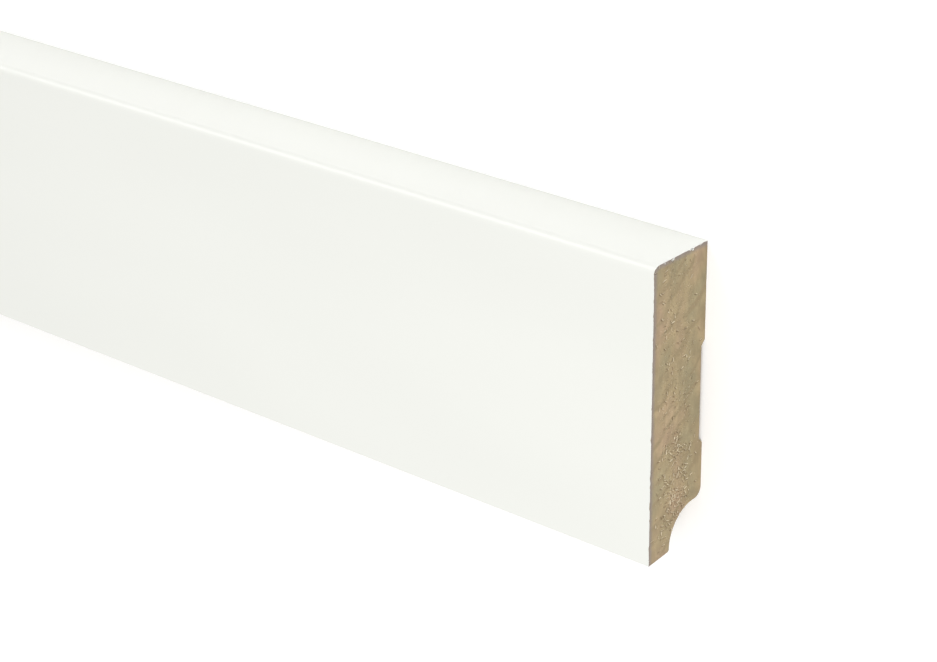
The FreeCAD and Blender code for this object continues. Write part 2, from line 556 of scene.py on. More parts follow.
@dataclass(frozen=True)
class SawnFibreboard(Finish):
    """Medium-density fibreboard cut across by a circular saw.

    It is a dull grey-tan felt: soft mottling with a few long sweeps from the teeth, their
    grooves painted darker as shade; torn tufts painted pale, partly loose fibre and partly
    a painted highlight, beside furrows painted dark as the tufts' shadow, in the open
    middle; tight and plain towards the two pressed skins; a back rim painted darker,
    partly crushed fibre and partly painted shade; and a grey line where the foil's glue
    has soaked in.
    """

    name: str = "sawn_fibreboard"
    colour: str = "#a79573"
    roughness: float = 0.93
    glue: str = "#877d77"
    rosy: str = "#ac9578"
    olive: str = "#a19474"
    # Tuft colour: paler loose fibre plus a painted highlight for the light the tufts catch.
    tuft: str = "#e4d8bc"
    # Furrow colour: painted shadow beside the tufts, over the furrows' real sinking.
    furrow: str = "#75614a"

    def dress(self, tree: bpy.types.NodeTree, place: bpy.types.NodeSocket) -> dict[str, object]:
        """Adds tints, fibre mats, sweeps and furrows painted darker as shade, tufts painted pale with a painted
        highlight, the crushed back rim with painted shade, and the glue line.
        """
        add = partial(add_node, tree)
        wide = add(
            "ShaderNodeMapping", {"Vector": place, "Scale": per_grain(9 * MM, 9 * MM, 6 * MM)}
        )
        drift = add("ShaderNodeTexNoise", {"Vector": wide, "Scale": 1.0, "Detail": 1.0})
        tints = [(0.32, linear(self.olive)), (0.5, linear(self.colour)), (0.68, linear(self.rosy))]
        base = add("ShaderNodeValToRGB", {"Fac": drift}, stops=tints)
        # Mats of fibre lie flat in the board, so in the cut they run up and down it.
        lying = add(
            "ShaderNodeMapping",
            {"Vector": place, "Scale": per_grain(0.8 * MM, 3.2 * MM, 1.3 * MM)},
        )
        mats = add(
            "ShaderNodeTexNoise",
            {"Vector": lying, "Scale": 1.0, "Detail": 3.0, "Roughness": 0.6, "Distortion": 0.4},
        )
        patches = add(
            "ShaderNodeTexNoise", {"Vector": place, "Scale": 1 / (4.5 * MM), "Detail": 1.0}
        )
        for pattern, dark, light in ((mats, 0.84, 1.06), (patches, 0.86, 1.07)):
            tone = add(
                "ShaderNodeValToRGB", {"Fac": pattern}, stops=[(0.3, grey(dark)), (0.7, grey(light))]
            )
            base = add(
                "ShaderNodeMix", {"Factor": 1.0, 6: base, 7: tone}, data_type="RGBA",
                blend_type="MULTIPLY",
            )
        layers = (
            # Painted shade: the saw's grooves are darkened on top of their real shallow relief.
            ("swept", 0.0, 1.0, 1.0, shade(self.colour, 0.78)),
            # Painted shadow: the furrows beside the tufts are darkened as the tufts' shadow.
            ("torn", 0.0, 1.0, 0.62, linear(self.furrow)),
            # Tufts painted pale: partly loose fibre, partly a painted highlight.
            ("lifted", 0.0, 1.0, 1.0, linear(self.tuft)),
            # Back rim darker: partly crushed fibre, partly painted shade at the arris.
            ("from_wall", 0.60 * MM, 0.20 * MM, 0.5, shade(self.colour, 0.68)),
            ("under_coat", 1.45 * MM, 0.60 * MM, 0.90, linear(self.glue)),
        )
        ragged = add("ShaderNodeTexNoise", {"Vector": place, "Scale": 1 / (0.9 * MM), "Detail": 2.0})
        for stored, nothing, full, most, colour in layers:
            there = add("ShaderNodeAttribute", attribute_name=stored).outputs["Fac"]
            if nothing > full:
                there = add(
                    "ShaderNodeMath", {0: ragged, 1: 0.55 * MM, 2: there},
                    operation="MULTIPLY_ADD",
                )
            share = add(
                "ShaderNodeMapRange",
                {"Value": there, "From Min": nothing, "From Max": full, "To Max": most},
            )
            base = add("ShaderNodeMix", {"Factor": share, 6: base, 7: colour}, data_type="RGBA")
        small = add(
            "ShaderNodeMapping",
            {"Vector": place, "Scale": per_grain(0.25 * MM, 0.4 * MM, 0.25 * MM)},
        )
        felt = add("ShaderNodeTexNoise", {"Vector": small, "Scale": 1.0})
        relief = add("ShaderNodeBump", {"Height": felt, "Distance": 0.04 * MM, "Strength": 1.0})
        return {"Base Color": base, "Normal": relief}


@dataclass(frozen=True)
class MouldedFibreboard(Finish):
    """Fibreboard shaped along its length by a moulder's cutters.

    It is a shade darker and smoother than the sawn end, crossed by the faint even ripples
    that the turning knives leave and scattered with short pale fibres.
    """

    name: str = "moulded_fibreboard"
    colour: str = "#a99876"
    roughness: float = 0.85
    knife_pitch: float = 1.6 * MM

    def dress(self, tree: bpy.types.NodeTree, place: bpy.types.NodeSocket) -> dict[str, object]:
        """Adds long fibre streaks, flecks and the knife ripple."""
        add = partial(add_node, tree)
        long = add(
            "ShaderNodeMapping",
            {"Vector": place, "Scale": per_grain(14 * MM, 0.6 * MM, 0.6 * MM)},
        )
        streaks = add("ShaderNodeTexNoise", {"Vector": long, "Scale": 1.0, "Detail": 3.0})
        short = add(
            "ShaderNodeMapping",
            {"Vector": place, "Scale": per_grain(0.9 * MM, 0.35 * MM, 0.35 * MM)},
        )
        flecks = add(
            "ShaderNodeTexNoise",
            {"Vector": short, "Scale": 1.0, "Detail": 3.0, "Roughness": 0.65},
        )
        base = add(
            "ShaderNodeValToRGB",
            {"Fac": streaks},
            stops=[(0.3, shade(self.colour, 0.88)), (0.7, shade(self.colour, 1.08))],
        )
        fleck_tones = [(0.30, grey(0.74)), (0.5, grey(0.92)), (0.72, grey(1.0))]
        tone = add("ShaderNodeValToRGB", {"Fac": flecks}, stops=fleck_tones)
        base = add(
            "ShaderNodeMix", {"Factor": 1.0, 6: base, 7: tone}, data_type="RGBA",
            blend_type="MULTIPLY",
        )
        along = add("ShaderNodeSeparateXYZ", {"Vector": place})
        turn = add(
            "ShaderNodeMath", {0: along, 1: math.tau / self.knife_pitch}, operation="MULTIPLY"
        )
        ripple = add("ShaderNodeMath", {0: turn}, operation="SINE")
        relief = add("ShaderNodeBump", {"Height": ripple, "Distance": 0.012 * MM, "Strength": 1.0})
        relief = add(
            "ShaderNodeBump",
            {"Height": flecks, "Distance": 0.06 * MM, "Strength": 1.0, "Normal": relief},
        )
        return {"Base Color": base, "Normal": relief}


@dataclass(frozen=True)
class SandedSkin(Finish):
    """The pressed skin of fibreboard, left as the mill's sanding belt left it.

    It is the smoothest bare part: an even biscuit tan with fine belt lines along the
    board, a darker fibre here and there, and a slight sheen.
    """

    name: str = "sanded_fibreboard_skin"
    colour: str = "#b3a07c"
    roughness: float = 0.72

    def dress(self, tree: bpy.types.NodeTree, place: bpy.types.NodeSocket) -> dict[str, object]:
        """Adds clouding, belt lines and loose dark fibres."""
        add = partial(add_node, tree)
        wide = add(
            "ShaderNodeMapping",
            {"Vector": place, "Scale": per_grain(25 * MM, 10 * MM, 10 * MM)},
        )
        cloud = add("ShaderNodeTexNoise", {"Vector": wide, "Scale": 1.0})
        base = add(
            "ShaderNodeValToRGB",
            {"Fac": cloud},
            stops=[(0.3, shade(self.colour, 0.93)), (0.7, shade(self.colour, 1.06))],
        )
        # Belt scratches are about 0.1 mm wide and are drawn at 0.25 mm to show at all.
        lines = add(
            "ShaderNodeMapping",
            {"Vector": place, "Scale": per_grain(40 * MM, 0.25 * MM, 0.25 * MM)},
        )
        belt = add("ShaderNodeTexNoise", {"Vector": lines, "Scale": 1.0})
        short = add(
            "ShaderNodeMapping",
            {"Vector": place, "Scale": per_grain(1.4 * MM, 0.5 * MM, 0.5 * MM)},
        )
        fibres = add(
            "ShaderNodeTexNoise",
            {"Vector": short, "Scale": 1.0, "Detail": 4.0, "Roughness": 0.7, "Distortion": 0.8},
        )
        belt_tones = [(0.35, grey(0.90)), (0.65, grey(1.0))]
        fibre_tones = [(0.26, (0.62, 0.60, 0.56, 1)), (0.36, grey(1.0))]
        for pattern, tones in ((belt, belt_tones), (fibres, fibre_tones)):
            tone = add("ShaderNodeValToRGB", {"Fac": pattern}, stops=tones)
            base = add(
                "ShaderNodeMix", {"Factor": 1.0, 6: base, 7: tone}, data_type="RGBA",
                blend_type="MULTIPLY",
            )
        relief = add("ShaderNodeBump", {"Height": belt, "Distance": 0.008 * MM, "Strength": 1.0})
        return {"Base Color": base, "Normal": relief}


@dataclass(frozen=True)
class PalePaper(Finish):
    """Matt white paper sweep for the floor, which shows as plain white with no edge."""

    name: str = "pale_paper"
    colour: str = "#fbfbfb"
    roughness: float = 0.9
    glow: float = 0.13

    def dress(self, tree: bpy.types.NodeTree, place: bpy.types.NodeSocket) -> dict[str, object]:
        """Adds a slow tone to the paper, and the light that comes through it from below."""
        add = partial(add_node, tree)
        wide = add("ShaderNodeTexNoise", {"Vector": place, "Scale": 2.5, "Detail": 1.0})
        tone = add(
            "ShaderNodeValToRGB",
            {"Fac": wide},
            stops=[(0.3, shade(self.colour, 0.995)), (0.7, shade(self.colour, 1.0))],
        )
        return {
            "Base Color": tone,
            "Specular IOR Level": 0.1,
            "Emission Color": (1, 1, 1, 1),
            "Emission Strength": self.glow,
        }


@dataclass(frozen=True)
class LitBackdrop(Finish):
    """White paper lit from behind, so that it shows as the same plain white as the floor."""

    name: str = "lit_backdrop"
    colour: str = "#ffffff"
    roughness: float = 0.9

    def dress(self, tree: bpy.types.NodeTree, place: bpy.types.NodeSocket) -> dict[str, object]:
        """Adds the light that comes through the paper."""
        white = linear(self.colour)
        return {"Base Color": grey(0.0), "Emission Color": white, "Emission Strength": 1.0}


def flat_section(
    name: str, points: list[Point], faces: list[tuple[int, ...]]
) -> bpy.types.Object:
    """An object with a flat section in the plane X = 0, facing along +X.

    Args:
        name: the object's name.
        points: the section's points, as Y and Z.
        faces: the section's faces, as numbers of points, clockwise seen from +X.

    Returns:
        The object, linked to the scene.
    """
    mesh = bpy.data.meshes.new(name)
    corners = [(0.0, y, z) for y, z in points]
    mesh.from_pydata(corners, [], [tuple(reversed(face)) for face in faces])
    piece = bpy.data.objects.new(name, mesh)
    bpy.context.scene.collection.objects.link(piece)
    return piece


@dataclass(frozen=True)
class MouldingRun:
    """A section run along the board, closed at both ends, with chips out of its cut edges."""

    half_length: float
    chip_depth: float
    chip_size: float
    pad_height: float
    end_row: float = 1.5 * MM
    sharpest_smooth_edge: float = math.radians(28)
    seed: int = 11

    def build(
        self, section: bpy.types.Object, general: bpy.types.Material, pads: bpy.types.Material
    ) -> bpy.types.Object:
        """Runs a flat section along X.

        Args:
            section: the object that holds it, which becomes the piece.
            general: the material of everything but the pads.
            pads: the material of the faces that stand on the back plane.

        Returns:
            The finished piece.
        """
        nodes = GeometryTree(
            "moulding_run",
            {
                "Half length": self.half_length,
                "End row": self.end_row,
                "Chip depth": self.chip_depth,
                "Chip size": self.chip_size,
                "Pad height": self.pad_height,
                "Sharp edge": self.sharpest_smooth_edge,
                "Seed": self.seed,
                "General finish": general,
                "Pad finish": pads,
            },
        )
        add, given = nodes.add, nodes.given
        half, row = given["Half length"], given["End row"]
        along = add("ShaderNodeCombineXYZ", {"X": 1.0})
        back = add("ShaderNodeVectorMath", {0: along, "Scale": half}, operation="SCALE")
        start = add(
            "GeometryNodeTransform",
            {
                "Geometry": given["Geometry"],
                "Translation": add(
                    "ShaderNodeVectorMath", {0: back, "Scale": -1.0}, operation="SCALE"
                ),
            },
        )
        near_cap = add("GeometryNodeFlipFaces", {"Mesh": start})
        inner = add("ShaderNodeMath", {0: half, 1: row}, operation="SUBTRACT")
        middle = add("ShaderNodeMath", {0: inner, 1: 2.0}, operation="MULTIPLY")
        run, top = start, True
        for step in (row, middle, row):
            extrude = add(
                "GeometryNodeExtrudeMesh",
                {"Mesh": run, "Selection": top, "Offset": along, "Offset Scale": step,
                 "Individual": False},
            )
            run, top = extrude.outputs["Mesh"], extrude.outputs["Top"]
        closed = add("GeometryNodeJoinGeometry", {"Geometry": [run, near_cap]})
        welded = add("GeometryNodeMergeByDistance", {"Geometry": closed, "Distance": 0.0005 * MM})
        smooth = add(
            "GeometryNodeSetShadeSmooth",
            {"Geometry": self.chipped(nodes, welded), "Shade Smooth": True},
        )
        turn = add("GeometryNodeInputMeshEdgeAngle")
        sharp = add(
            "FunctionNodeCompare", {0: turn, 1: given["Sharp edge"]}, operation="GREATER_THAN"
        )
        creased = add(
            "GeometryNodeSetShadeSmooth",
            {"Geometry": smooth, "Selection": sharp, "Shade Smooth": False},
            domain="EDGE",
        )
        place = add("ShaderNodeSeparateXYZ", {"Vector": add("GeometryNodeInputPosition")})
        on_back = add(
            "FunctionNodeCompare",
            {0: place.outputs["Z"], 1: given["Pad height"]},
            operation="LESS_THAN",
        )
        nodes.finish(creased, [(given["General finish"], True), (given["Pad finish"], on_back)])
        nodes.make_plain(section)
        return section

    def chipped(self, nodes: GeometryTree, geometry: bpy.types.Node) -> bpy.types.Node:
        """Draws the cut edges back a little where the saw chipped them.

        Args:
            nodes: the tree being built.
            geometry: the closed run.

        Returns:
            The run with its chips.
        """
        add, given = nodes.add, nodes.given
        place = add("GeometryNodeInputPosition")
        x = add("ShaderNodeSeparateXYZ", {"Vector": place})
        far = add("ShaderNodeMath", {0: x}, operation="ABSOLUTE")
        reach = add("ShaderNodeMath", {0: given["Half length"], 1: far}, operation="SUBTRACT")
        at_cut = add("FunctionNodeCompare", {0: reach, 1: 0.01 * MM}, operation="LESS_THAN")
        size = add("ShaderNodeCombineXYZ", {i: given["Chip size"] for i in range(3)})
        sized = add("ShaderNodeVectorMath", {0: place, 1: size}, operation="DIVIDE")
        roughly = add(
            "ShaderNodeTexNoise",
            {"Vector": sized, "Scale": 1.0, "W": given["Seed"], "Detail": 3.0},
            noise_dimensions="4D",
        )
        chip = add(
            "ShaderNodeMapRange",
            {"Value": roughly, "From Min": 0.50, "From Max": 0.72, "To Max": given["Chip depth"]},
        )
        side = add("ShaderNodeMath", {0: x}, operation="SIGN")
        outward = add("ShaderNodeMath", {0: side, 1: chip}, operation="MULTIPLY")
        inward = add("ShaderNodeMath", {0: outward, 1: -1.0}, operation="MULTIPLY")
        offset = add("ShaderNodeCombineXYZ", {"X": inward})
        return add(
            "GeometryNodeSetPosition",
            {"Geometry": geometry, "Selection": at_cut, "Offset": offset},
        )


@dataclass(frozen=True)
class TornFibres:
    """One kind of fibre that the saw's teeth lifted, with its sizes in metres."""

    name: str
    density: float
    apart: float
    length: float
    width: float
    root: float
    # pale: how pale the fibres are painted, partly a painted highlight.
    pale: float
    seed: int


@dataclass(frozen=True)
class SawnEnd:
    """The outermost slice at one end: the saw's relief over a fine grid, and torn fibres."""

    section: BoardSection
    end: End
    half_length: float
    thickness: float = 1.0 * MM
    grid: float = 0.135 * MM
    sunk: float = 0.02 * MM
    saw_depth: float = 0.03 * MM
    saw_pitch: float = 3.4 * MM
    saw_centre: Vector = Vector((0.0, 0.123, 0.094))
    grain_size: Vector = Vector((0.6 * MM, 1.3 * MM, 0.6 * MM))
    grain_depth: float = 0.11 * MM
    furrow_depth: float = 0.11 * MM
    furrow_width: float = 0.17 * MM
    furrow_offset: Vector = Vector((0.0, -0.16 * MM, 0.08 * MM))
    clump_size: float = 3.6 * MM
    first_heading: float = math.radians(-10)
    last_heading: float = math.radians(125)
    loose_centre: Vector = Vector((0.0, -13.5 * MM, 7.8 * MM))
    loose_reach: Vector = Vector((1.0, 10.0 * MM, 4.5 * MM))
    skin: float = 3.2 * MM
    felt: TornFibres = TornFibres(
        "felt", 3.4e6, 0.34 * MM, 0.42 * MM, 0.13 * MM, 0.08 * MM, 0.5, 40
    )
    tufts: TornFibres = TornFibres(
        "tufts", 3.6e6, 0.52 * MM, 0.72 * MM, 0.28 * MM, 0.12 * MM, 1.0, 60
    )
    frays: TornFibres = TornFibres(
        "frays", 60.0e6, 0.16 * MM, 0.55 * MM, 0.30 * MM, 0.0, 0.0, 80
    )
    fray_reach: float = 0.45 * MM

    @property
    def name(self) -> str:
        """The piece's name."""
        return f"sawn_end_{self.end.name.lower()}"

    def rows(self) -> list[float]:
        """Heights of the grid's rows: each of the outline's own, and even ones between."""
        own = sorted({round(y, 8) for y, _ in self.section.core_outline()})
        lowest, highest = own[0] + 0.004 * MM, own[-1]
        count = math.ceil((highest - lowest) / self.grid)
        even = [lowest + (highest - lowest) * i / count for i in range(count + 1)]
        kept = [y for y in own if lowest < y < highest]
        rows = sorted(
            kept + [y for y in even if min((abs(y - o) for o in kept), default=1) > 0.05 * MM]
        )
        return rows

    def slice_mesh(self) -> bpy.types.Mesh:
        """The slice before the saw's relief: a fine grid on the cut and plain sides and back.

        Returns:
            A closed mesh that stores each point's distance to the coat and to the back.
        """
        side = self.end.value
        rows = self.rows()
        columns = round(self.section.thickness / self.grid)
        outer = side * self.half_length
        inner = side * (self.half_length - self.thickness)
        points, under, from_wall = [], [], []
        for y in rows:
            low, high = self.section.span(y)
            for j in range(columns + 1):
                z = low + (high - low) * j / columns
                points.append((outer, y, z))
                under.append(max(0.0, self.section.from_coat(y, z)))
                from_wall.append(z - low)
        width = columns + 1
        faces = []
        for i in range(len(rows) - 1):
            for j in range(columns):
                a = i * width + j
                faces.append((a, a + width, a + width + 1, a + 1))
        last = (len(rows) - 1) * width
        rim = (
            list(range(0, columns))
            + [i * width + columns for i in range(len(rows) - 1)]
            + [last + j for j in range(columns, 0, -1)]
            + [i * width for i in range(len(rows) - 1, 0, -1)]
        )
        first_inner = len(points)
        for index in rim:
            points.append((inner, points[index][1], points[index][2]))
            under.append(under[index])
            from_wall.append(from_wall[index])
        count = len(rim)
        for k in range(count):
            following = (k + 1) % count
            faces.append(
                (rim[k], rim[following], first_inner + following, first_inner + k)
            )
        faces.append(tuple(first_inner + k for k in range(count)))
        mesh = bpy.data.meshes.new(self.name)
        mesh.from_pydata(points, [], faces)
        for name, values in (("under_coat", under), ("from_wall", from_wall)):
            mesh.attributes.new(name, "FLOAT", "POINT").data.foreach_set("value", values)
        work = bmesh.new()
        work.from_mesh(mesh)
        bmesh.ops.recalc_face_normals(work, faces=work.faces)
        work.to_mesh(mesh)
        work.free()
        return mesh

    def build(
        self, cut: bpy.types.Material, moulded: bpy.types.Material, wrap: bpy.types.Material
    ) -> bpy.types.Object:
        """Saws the slice and stands torn fibres and frayed foil on it.

        Args:
            cut: the sawn face's material.
            moulded: the material of the slice's sides, the same as the board's own.
            wrap: the foil's material.

        Returns:
            The finished piece.
        """
        piece = bpy.data.objects.new(self.name, self.slice_mesh())
        bpy.context.scene.collection.objects.link(piece)
        half, section = self.half_length, self.section
        nodes = GeometryTree(
            "sawn_end",
            {
                "Side": float(self.end.value),
                "Half length": half,
                "Lowest corner": Vector((-half, -section.top, 0.0)),
                "Highest corner": Vector((half, section.top, section.thickness)),
                "Sunk": self.sunk,
                "Saw depth": self.saw_depth,
                "Saw pitch": self.saw_pitch,
                "Saw centre": self.saw_centre,
                "Grain size": self.grain_size,
                "Grain depth": self.grain_depth,
                "Furrow depth": self.furrow_depth,
                "Furrow width": self.furrow_width,
                "Furrow offset": self.furrow_offset,
                "Clump size": self.clump_size,
                "Loose centre": self.loose_centre,
                "Loose reach": self.loose_reach,
                "Skin": self.skin,
                "Fray reach": self.fray_reach,
                "Seed": 5 + self.end.value,
                "Cut finish": cut,
                "Side finish": moulded,
                "Foil finish": wrap,
            },
        )
        add, given = nodes.add, nodes.given
        place = add("GeometryNodeInputPosition")
        x = add("ShaderNodeSeparateXYZ", {"Vector": place})
        far = add("ShaderNodeMath", {0: x}, operation="ABSOLUTE")
        inside = add("ShaderNodeMath", {0: given["Half length"], 1: far}, operation="SUBTRACT")
        openness = self.openness(nodes)
        tufted = add("ShaderNodeMath", {0: openness, 1: self.clumps(nodes)}, operation="MULTIPLY")
        tuft_points = self.scattered(nodes, self.tufts, tufted, 0.35 * MM)
        felt_points = self.scattered(nodes, self.felt, openness, self.felt.length)
        fray_points = self.scattered(nodes, self.frays, self.fraying(nodes), 0.02 * MM)
        sawn = self.sawn(nodes, openness, inside, self.furrows(nodes, tuft_points))
        standing = [
            self.standing(nodes, self.tufts, tuft_points),
            self.standing(nodes, self.felt, felt_points),
            self.standing(nodes, self.frays, fray_points),
        ]
        joined = add("GeometryNodeJoinGeometry", {"Geometry": [sawn, *standing]})
        on_cut = add(
            "FunctionNodeCompare", {0: inside, 1: self.thickness * 0.45}, operation="LESS_THAN"
        )
        foil = add("GeometryNodeInputNamedAttribute", {"Name": "frays"}, data_type="BOOLEAN")
        nodes.finish(
            joined,
            [
                (given["Side finish"], True),
                (given["Cut finish"], on_cut),
                (given["Foil finish"], foil.outputs["Attribute"]),
            ],
        )
        nodes.make_plain(piece)
        return piece

    def openness(self, nodes: GeometryTree) -> bpy.types.Node:
        """How coarse the fibreboard is: near 0 in its pressed skins and 1 in its middle."""
        add, given = nodes.add, nodes.given
        place = add("ShaderNodeSeparateXYZ", {"Vector": add("GeometryNodeInputPosition")})
        z = place.outputs["Z"]
        ahead = add(
            "ShaderNodeMath", {0: self.section.thickness, 1: z}, operation="SUBTRACT"
        )
        nearest = add("ShaderNodeMath", {0: z, 1: ahead}, operation="MINIMUM")
        least = add("ShaderNodeMath", {0: given["Skin"], 1: 0.4}, operation="MULTIPLY")
        most = add("ShaderNodeMath", {0: given["Skin"], 1: 1.5}, operation="MULTIPLY")
        return add(
            "ShaderNodeMapRange",
            {"Value": nearest, "From Min": least, "From Max": most, "To Min": 0.12},
            interpolation_type="SMOOTHSTEP",
        )

    def clumps(self, nodes: GeometryTree) -> bpy.types.Node:
        """How thickly the tufts stand: in clumps, and most where the board is loosest."""
        add, given = nodes.add, nodes.given
        place = add("GeometryNodeInputPosition")
        size = add("ShaderNodeCombineXYZ", {i: given["Clump size"] for i in range(3)})
        sized = add("ShaderNodeVectorMath", {0: place, 1: size}, operation="DIVIDE")
        noise = add(
            "ShaderNodeTexNoise",
            {"Vector": sized, "Scale": 1.0, "W": given["Seed"], "Detail": 1.0},
            noise_dimensions="4D",
        )
        thick = add("ShaderNodeMapRange", {"Value": noise, "From Min": 0.40, "From Max": 0.58})
        off = add("ShaderNodeVectorMath", {0: place, 1: given["Loose centre"]}, operation="SUBTRACT")
        off = add("ShaderNodeVectorMath", {0: off, 1: (0.0, 1.0, 1.0)}, operation="MULTIPLY")
        shares = add("ShaderNodeVectorMath", {0: off, 1: given["Loose reach"]}, operation="DIVIDE")
        distance = add("ShaderNodeVectorMath", {0: shares}, operation="LENGTH")
        loose = add(
            "ShaderNodeMapRange",
            {"Value": distance, "From Min": 0.7, "From Max": 1.5, "To Min": 1.0, "To Max": 0.32},
        )
        return add("ShaderNodeMath", {0: thick, 1: loose}, operation="MULTIPLY")

    def fraying(self, nodes: GeometryTree) -> bpy.types.Node:
        """How thickly the foil's torn shreds stand: along its cut edge, most at the top."""
        add, given = nodes.add, nodes.given
        place = add("GeometryNodeInputPosition")
        parted = add("ShaderNodeSeparateXYZ", {"Vector": place})
        y, z = parted.outputs["Y"], parted.outputs["Z"]
        under = add(
            "GeometryNodeInputNamedAttribute", {"Name": "under_coat"}, data_type="FLOAT"
        )
        near = add(
            "ShaderNodeMapRange",
            {"Value": under, "From Min": 0.0, "From Max": given["Fray reach"], "To Min": 1.0,
             "To Max": 0.0},
        )
        top = self.section.top
        high = add(
            "ShaderNodeMapRange",
            {"Value": y, "From Min": top - 2.5 * MM, "From Max": top - 1.0 * MM, "To Min": 0.06},
        )
        noise = add("ShaderNodeTexNoise", {"Vector": place, "Scale": 1 / (1.6 * MM), "Detail": 1.0})
        thick = add("ShaderNodeMapRange", {"Value": noise, "From Min": 0.44, "From Max": 0.54})
        # The corner was pressed hardest, so the foil holds there and frays behind it.
        face = self.section.thickness
        behind = add(
            "ShaderNodeMapRange",
            {"Value": z, "From Min": face - 1.5 * MM, "From Max": face - 3.5 * MM, "To Min": 0.15},
        )
        share = add("ShaderNodeMath", {0: near, 1: high}, operation="MULTIPLY")
        share = add("ShaderNodeMath", {0: share, 1: behind}, operation="MULTIPLY")
        return add("ShaderNodeMath", {0: share, 1: thick}, operation="MULTIPLY")

    def scattered(
        self, nodes: GeometryTree, kind: TornFibres, share: bpy.types.Node, clear: float
    ) -> bpy.types.NodeSocket:
        """Scatters the points where one kind of fibre stands on the flat cut.

        Args:
            nodes: the tree being built.
            kind: the fibres.
            share: how much of their full density they reach at each place.
            clear: how far they stay from the coat.

        Returns:
            The points.
        """
        add, given = nodes.add, nodes.given
        facing = add("ShaderNodeSeparateXYZ", {"Vector": add("GeometryNodeInputNormal")})
        outward = add("ShaderNodeMath", {0: facing, 1: given["Side"]}, operation="MULTIPLY")
        on_cut = add("FunctionNodeCompare", {0: outward, 1: 0.5}, operation="GREATER_THAN")
        under = add(
            "GeometryNodeInputNamedAttribute", {"Name": "under_coat"}, data_type="FLOAT"
        )
        deep = add("FunctionNodeCompare", {0: under, 1: clear}, operation="GREATER_THAN")
        chosen = add("FunctionNodeBooleanMath", {0: on_cut, 1: deep}, operation="AND")
        seed = add("ShaderNodeMath", {0: given["Seed"], 1: float(kind.seed)}, operation="ADD")
        spread = add(
            "GeometryNodeDistributePointsOnFaces",
            {
                "Mesh": given["Geometry"],
                "Selection": chosen,
                "Distance Min": kind.apart,
                "Density Max": kind.density,
                "Density Factor": share,
                "Seed": seed,
            },
            distribute_method="POISSON",
        )
        return spread.outputs["Points"]

    def lean(
        self, nodes: GeometryTree, kind: TornFibres, flattest: float, steepest: float
    ) -> bpy.types.Node:
        """The direction of each fibre, up from the cut by an angle between two limits.

        Args:
            nodes: the tree being built.
            kind: the fibres.
            flattest: the smallest angle, in radians.
            steepest: the largest angle, in radians.

        Returns:
            The rotation that turns a fibre's own Z that way.
        """
        add, given = nodes.add, nodes.given
        seed = add("ShaderNodeMath", {0: given["Seed"], 1: kind.seed + 1.0}, operation="ADD")
        heading = add(
            "FunctionNodeRandomValue", {2: self.first_heading, 3: self.last_heading, "Seed": seed}, data_type="FLOAT"
        )
        seed = add("ShaderNodeMath", {0: given["Seed"], 1: kind.seed + 2.0}, operation="ADD")
        rise = add(
            "FunctionNodeRandomValue", {2: flattest, 3: steepest, "Seed": seed},
            data_type="FLOAT",
        )
        flat = add("ShaderNodeMath", {0: rise}, operation="COSINE")
        steep = add("ShaderNodeMath", {0: rise}, operation="SINE")
        up = add("ShaderNodeMath", {0: heading}, operation="COSINE")
        across = add("ShaderNodeMath", {0: heading}, operation="SINE")
        direction = add(
            "ShaderNodeCombineXYZ",
            {
                "X": add("ShaderNodeMath", {0: steep, 1: given["Side"]}, operation="MULTIPLY"),
                "Y": add("ShaderNodeMath", {0: up, 1: flat}, operation="MULTIPLY"),
                "Z": add("ShaderNodeMath", {0: across, 1: flat}, operation="MULTIPLY"),
            },
        )
        return add("FunctionNodeAlignRotationToVector", {"Vector": direction}, axis="Z")

    def furrows(self, nodes: GeometryTree, points: bpy.types.NodeSocket) -> bpy.types.Node:
        """The lines beside the tufts that they were torn out of."""
        add, given = nodes.add, nodes.given
        reach = Vector((0, 0, self.tufts.length))
        line = add(
            "GeometryNodeMeshLine", {"Count": 2, "Start Location": reach * 0.1, "Offset": reach * 0.9}
        )
        laid = add(
            "GeometryNodeInstanceOnPoints",
            {"Points": points, "Instance": line, "Rotation": self.lean(nodes, self.tufts, 0.0, 0.0)},
        )
        beside = add(
            "GeometryNodeTranslateInstances",
            {"Instances": laid, "Translation": given["Furrow offset"], "Local Space": False},
        )
        return add("GeometryNodeRealizeInstances", {"Geometry": beside})

    def sawn(
        self,
        nodes: GeometryTree,
        openness: bpy.types.Node,
        inside: bpy.types.Node,
        furrows: bpy.types.Node,
    ) -> bpy.types.Node:
        """Sinks the cut face by the saw's sweeps, the grain and the furrows.

        Args:
            nodes: the tree being built.
            openness: how coarse the fibreboard is at each point.
            inside: each point's distance from the board's end.
            furrows: the lines that the tufts were torn out of.

        Returns:
            The sawn slice, which stores how torn and how swept each point is.
        """
        add, given = nodes.add, nodes.given
        place = add("GeometryNodeInputPosition")
        on_cut = add("FunctionNodeCompare", {0: inside, 1: 0.01 * MM}, operation="LESS_THAN")
        off = add("ShaderNodeVectorMath", {0: place, 1: given["Saw centre"]}, operation="SUBTRACT")
        across = add("ShaderNodeVectorMath", {0: off, 1: (0.0, 1.0, 1.0)}, operation="MULTIPLY")
        radius = add("ShaderNodeVectorMath", {0: across}, operation="LENGTH")
        turns = add("ShaderNodeMath", {0: radius, 1: math.tau}, operation="MULTIPLY")
        wander = add("ShaderNodeTexNoise", {"Vector": place, "Scale": 1 / (8 * MM), "Detail": 1.0})
        phase = add("ShaderNodeMath", {0: turns, 1: given["Saw pitch"]}, operation="DIVIDE")
        drift = add("ShaderNodeMath", {0: wander, 1: 9.0}, operation="MULTIPLY")
        phase = add("ShaderNodeMath", {0: phase, 1: drift}, operation="ADD")
        wave = add("ShaderNodeMath", {0: phase}, operation="SINE")
        faint = add("ShaderNodeTexNoise", {"Vector": place, "Scale": 1 / (5 * MM), "Detail": 1.0})
        strength = add("ShaderNodeMapRange", {"Value": faint, "From Min": 0.38, "From Max": 0.56})
